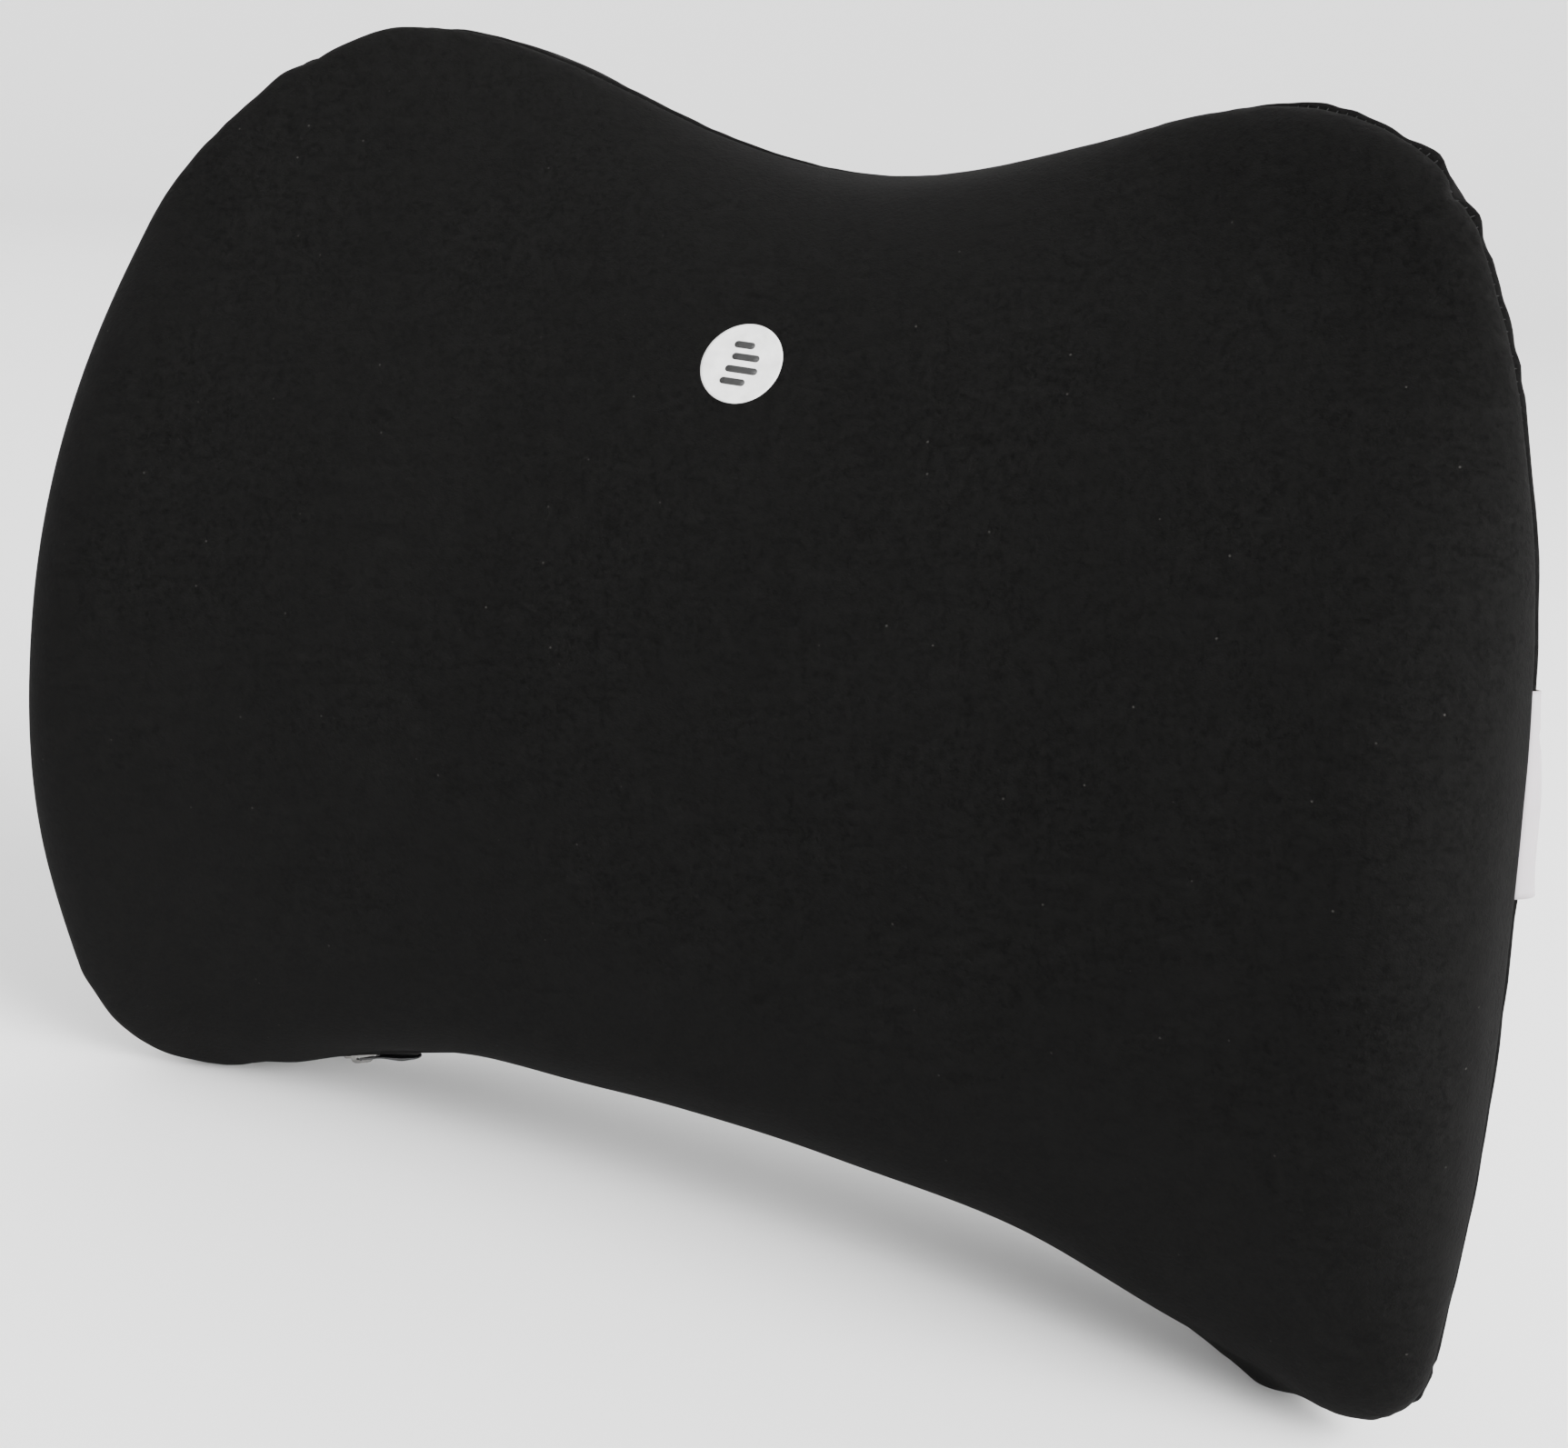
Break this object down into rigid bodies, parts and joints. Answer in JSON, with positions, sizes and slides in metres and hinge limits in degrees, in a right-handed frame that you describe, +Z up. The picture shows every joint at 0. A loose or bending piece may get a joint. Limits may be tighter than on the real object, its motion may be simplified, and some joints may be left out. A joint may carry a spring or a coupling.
{
  "type": "lumbar support cushion",
  "caption": "Butterfly-shaped memory foam lumbar cushion in a removable black knit cover that zips along its lower edge.",
  "frame": {"origin": "the middle of the flat of the cushion's back, where it leans on a chair's backrest", "axes": "+Z up as used, -Y the way the cushion faces, +X to the right of the face as seen by someone looking at it"},
  "size_m": [0.3793, 0.1115, 0.287],
  "materials": {
    "foam": "open-cell memory foam, dull and slightly yellow",
    "liner_knit": "thin white polyester tricot",
    "cover_velour": "near-black short-nap stretch velour with a soft sheen",
    "zip_tape": "black woven polyester tape",
    "zip_coil": "black nylon coil",
    "zip_metal": "nickel-plated zinc, slightly worn",
    "zip_pull_black": "gloss black enamel on zinc",
    "label_satin": "off-white satin ribbon",
    "badge_white": "white heat-transfer print, satin"
  },
  "bodies": {
    "cushion": {"foam_core": "foam", "liner_front": "liner_knit", "liner_back": "liner_knit", "cover_front": "cover_velour", "cover_back": "cover_velour", "zip_tape_front": "zip_tape", "zip_tape_rear": "zip_tape", "zip_coil_front": "zip_coil", "zip_coil_rear": "zip_coil", "zip_end_stop": "zip_metal", "zip_start_stop": "zip_metal", "care_label": "label_satin", "badge_print": "badge_white"},
    "slider": {"zip_slider": "zip_metal"},
    "pull": {"zip_pull": "zip_pull_black"}
  },
  "joints": [
    {"name": "zip_run", "type": "hinge", "parent": "cushion", "child": "slider", "pos_m": [0, -0.2648, -0.23412], "axis": [0, 0.4664, -0.8846], "range_deg": [0, 50.4]},
    {"name": "pull_swing", "type": "hinge", "parent": "slider", "child": "pull", "pos_m": [-0.11836, -0.0414, -0.11854], "axis": [-0.3766, 0.9255, -0.0393], "range_deg": [0, 175]}
  ]
}
